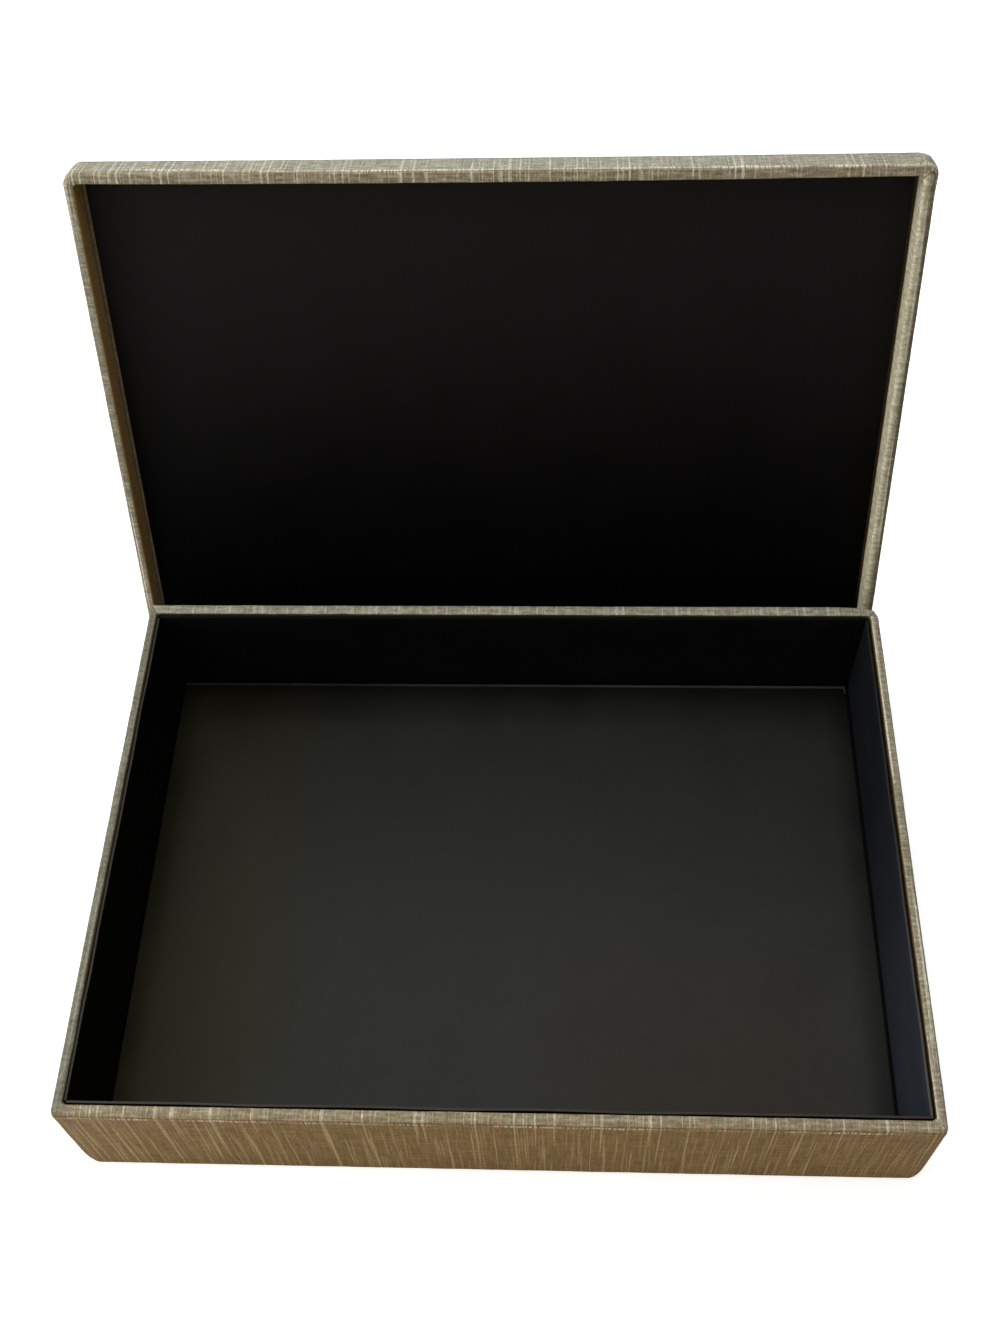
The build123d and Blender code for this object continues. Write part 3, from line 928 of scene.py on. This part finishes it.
# black cards: the tray's liners and floor, and the lid's panel
def cardSolid(size, softEdge, cuts):
    # A card as a block with softened edges, cut across so that it can bow.
    bm = bmesh.new()
    bmesh.ops.create_cube(bm, size=1.0)
    bmesh.ops.scale(bm, vec=size, verts=bm.verts)
    bevel = {"offset": softEdge, "offset_type": "OFFSET", "affect": "EDGES", "segments": 2, "profile": 0.5}
    bmesh.ops.bevel(bm, geom=list(bm.edges), material=-1, **bevel)
    for axis in range(3):
        normal = Vector((0, 0, 0))
        normal[axis] = 1.0
        for n in range(1, cuts[axis]):
            place = normal * size[axis] * (n / cuts[axis] - 0.5)
            everything = list(bm.verts) + list(bm.edges) + list(bm.faces)
            bmesh.ops.bisect_plane(bm, geom=everything, plane_co=place, plane_no=normal, dist=1e-7)
    return bm


liner = {
    "softEdge": 0.12 * mm,
    "bow": 0.448 * mm,           # in and out along its length
    "bowRate": 9.0,              # in waves a length
    "dip": 0.3 * mm,             # of its top edge
    "dipRate": 6.3,
    "seedRate": 31,              # sets the sides' waves apart
    "lean": {"front": 0.4 * mm, "rear": 0.0, "left": -0.85 * mm, "right": 0.0},   # its top, inward
    "cutsAlong": {"front": 36, "rear": 36, "left": 26, "right": 26},
    "cutsUp": 6,
    # the right liner's card carries painted light
    "finish": {"front": edgedFinish, "rear": linerFinish, "left": edgedFinish, "right": litFinish},
}


def trayLiner(side):
    low, high = (Vector(corner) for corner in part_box(f"base_{side}_liner"))
    size, middle = high - low, (high + low) / 2
    lengthwise = side in ("front", "rear")
    cuts = (liner["cutsAlong"][side], 1) if lengthwise else (1, liner["cutsAlong"][side])
    bm = cardSolid(size, liner["softEdge"], (*cuts, liner["cutsUp"]))
    seed = clothFrom[side] * liner["seedRate"]
    for vert in bm.verts:
        along = vert.co.x / size.x if lengthwise else vert.co.y / size.y
        up = vert.co.z / size.z
        free = (up + 0.5) * (1 - (2 * along) ** 4)        # held at the floor and the corners
        push = noise.noise(Vector((along * liner["bowRate"], seed, 0))) * liner["bow"] * free
        push += liner["lean"][side] * (1 if middle.x + middle.y < 0 else -1) * ease(up + 0.5)
        drop = noise.noise(Vector((along * liner["dipRate"], seed, 5))) - 0.5
        vert.co[1 if lengthwise else 0] += push
        vert.co.z += drop * liner["dip"] * max(0, up)
        vert.co += middle
    newPiece(f"tray_{side}_card", bm, liner["finish"][side], "base", f"base_{side}_liner")


for side in turnOf:
    trayLiner(side)

flatCard = {
    "cuts": (30, 22, 1),
    "uneven": 0.12 * mm,
    "floorEdge": 0.5 * mm,       # softened by this
    "floorRate": 14,             # waves a metre in the floor
    "panelEdge": 0.25 * mm,
    "panelRate": 12,
}


def unevenCard(size, middle, softEdge, rate, seed):
    # A flat card whose upper face is slightly wavy.
    bm = cardSolid(size, softEdge, flatCard["cuts"])
    for vert in bm.verts:
        if vert.co.z > 0:
            vert.co.z += noise.noise(Vector((vert.co.x * rate, vert.co.y * rate, seed))) * flatCard["uneven"]
        vert.co += middle
    return bm


def trayFloor():
    low, high = (Vector(corner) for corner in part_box("base_floor_liner"))
    bm = unevenCard(high - low, (high + low) / 2, flatCard["floorEdge"], flatCard["floorRate"], 3)
    newPiece("tray_floor_card", bm, floorFinish, "base", "base_floor_liner")


def lidPanel():
    length, depth = lid["length"] - 2 * lid["panelEndInset"], lid["depth"] - 2 * lid["panelInset"]
    middle = Vector((lid["panelShift"], 0, lid["inside"] + lid["panelThick"] / 2))
    size = Vector((length, depth, lid["panelThick"]))
    bm = unevenCard(size, middle, flatCard["panelEdge"], flatCard["panelRate"], 8)
    bm.transform(lidStand)
    newPiece("lid_panel_card", bm, panelFinish, "lid", "lid_lining_panel")


trayFloor()
lidPanel()
print("lined with black card")


# boards, tapes, infill cards and underside are the frame's own, with finishes of their own
finishOf = {"board": boardFinish, "tapes": tapeFinish, "card": infillFinish, "sheet": undersideFinish}
for name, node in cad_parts.items():
    finish = bottomFinish if name == "base_bottom_board" else finishOf.get(name.split("_")[-1])
    if finish:
        for holder in node.material_slots:
            holder.material = finish
print("frame finished")


# floor, lamps, world and camera
studio = {
    "floorSize": 6.0,            # metres, half its side
    "floorDrop": 0.12 * mm,      # below the table's height, clear of the underside
    "floorColour": (0.8, 0.8, 0.8, 1),
    "floorGlow": 0.6,            # only for the camera
    "skyLight": 0.07,            # what the white sky gives; the camera sees 1
}
lamps = {   # place, target, size, power and colour
    "leftSoftbox": ((-1.3, 0.12, 0.9), (0, 0, 0.05), 1.2, 13.8, (0.99, 1.0, 1.0)),
    "lowSoftbox": ((-1.3, -0.15, 0.42), (0, 0, 0.1), 0.8, 8.5, (1.0, 1.0, 0.97)),
    "backSoftbox": ((-0.35, 1.15, 1.25), (0, 0, 0.05), 1.2, 14.2, (0.96, 0.99, 1.0)),
    "backWindow": ((-0.1, 1.9, 0.62), (0, 0.1, 0.15), 1.2, 8, (0.95, 0.98, 1.0)),
    "overheadSoftbox": ((0.1, 0.1, 1.7), (0, 0, 0), 1.2, 10.6, (0.96, 0.98, 1.0)),
    "frontSoftbox": ((-0.3, -1.45, 0.95), (0, 0, 0.05), 1.2, 9.8, (1.0, 0.94, 0.85)),
}


def cameraSees(tree):
    path = put(tree, "ShaderNodeLightPath").outputs
    return calc(tree, "MAXIMUM", path["Is Camera Ray"], path["Is Transmission Ray"])


def whiteFloor():
    material, tree, shader = newMaterial("whiteFloor")
    feed(tree, shader, {"Base Color": studio["floorColour"], "Roughness": 0.9, "Specular IOR Level": 0.1})
    glow = {"Color": (1, 1, 1, 1), "Strength": product(tree, cameraSees(tree), studio["floorGlow"])}
    glow = put(tree, "ShaderNodeEmission", glow).outputs[0]
    both = put(tree, "ShaderNodeAddShader", {0: shader.outputs[0], 1: glow}).outputs[0]
    tree.links.new(both, tree.nodes["Material Output"].inputs["Surface"])
    bm = bmesh.new()
    bmesh.ops.create_grid(bm, x_segments=4, y_segments=4, size=studio["floorSize"])
    mesh = bpy.data.meshes.new("floor")
    bm.to_mesh(mesh)
    bm.free()
    mesh.materials.append(material)
    floor = bpy.data.objects.new("floor", mesh)
    bpy.context.scene.collection.objects.link(floor)
    floor.location.z = -studio["floorDrop"]


def areaLamp(name, place, target, size, power, colour):
    lamp = bpy.data.lights.new(name, "AREA")
    lamp.size = size
    lamp.energy = power
    lamp.color = colour
    holder = bpy.data.objects.new(name, lamp)
    bpy.context.scene.collection.objects.link(holder)
    holder.location = place
    holder.rotation_euler = (Vector(target) - Vector(place)).to_track_quat("-Z", "Y").to_euler()


def paleWorld():
    world = bpy.data.worlds.new("paleWorld")
    bpy.context.scene.world = world
    world.use_nodes = True
    tree = world.node_tree
    strength = fade(tree, cameraSees(tree), 0, 1, studio["skyLight"], 1.0)
    feed(tree, tree.nodes["Background"], {"Color": (1, 1, 1, 1), "Strength": strength})


whiteFloor()
paleWorld()
for name, settings in lamps.items():
    areaLamp(name, *settings)

view = {
    "place": (27.0 * mm, -288.0 * mm, 609.0 * mm),
    "yaw": math.radians(-4.7),
    "pitch": math.radians(55.715),   # looking down
    "roll": math.radians(-3.6),
    "frameWidth": 1000,              # pixels
    "focal": 1504.5,                 # in the same pixels
}


def addCamera():
    yaw, pitch, roll = view["yaw"], view["pitch"], view["roll"]
    ahead = Vector((math.sin(yaw) * math.cos(pitch), math.cos(yaw) * math.cos(pitch), -math.sin(pitch)))
    level = Vector((math.cos(yaw), -math.sin(yaw), 0))
    rise = level.cross(ahead)
    right = level * math.cos(roll) + rise * math.sin(roll)
    up = rise * math.cos(roll) - level * math.sin(roll)
    lens = bpy.data.cameras.new("camera")
    lens.sensor_fit = "HORIZONTAL"
    lens.sensor_width = 36.0
    lens.lens = lens.sensor_width * view["focal"] / view["frameWidth"]
    camera = bpy.data.objects.new("camera", lens)
    bpy.context.scene.collection.objects.link(camera)
    axes = Matrix((right, up, -ahead)).transposed().to_4x4()
    camera.matrix_world = Matrix.Translation(view["place"]) @ axes
    bpy.context.scene.camera = camera


addCamera()
bpy.context.scene.view_settings.view_transform = "Standard"
print("camera and light set")
